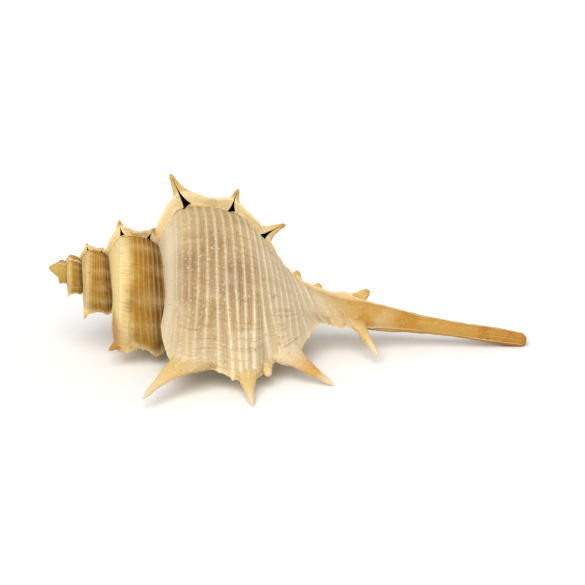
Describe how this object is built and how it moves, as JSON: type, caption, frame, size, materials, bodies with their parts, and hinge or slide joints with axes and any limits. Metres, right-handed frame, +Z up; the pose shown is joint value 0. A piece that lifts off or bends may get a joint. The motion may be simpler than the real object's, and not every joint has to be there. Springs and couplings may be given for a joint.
{
  "type": "murex shell",
  "caption": "Coiled murex sea shell with a pointed spire, ridged body whorl, spined varices and a long straight canal, lying on its mouth side.",
  "frame": {"origin": "centre of the bounding box's underside, on the surface that the shell lies on", "axes": "+Z up, +X along the shell from the apex to the end of the canal, -Y towards the outer lip"},
  "size_m": [0.0894, 0.0462, 0.0341],
  "materials": {
    "shell_lime": "satin, ridged"
  },
  "bodies": {
    "root": {"shell": "shell_lime"}
  },
  "joints": []
}
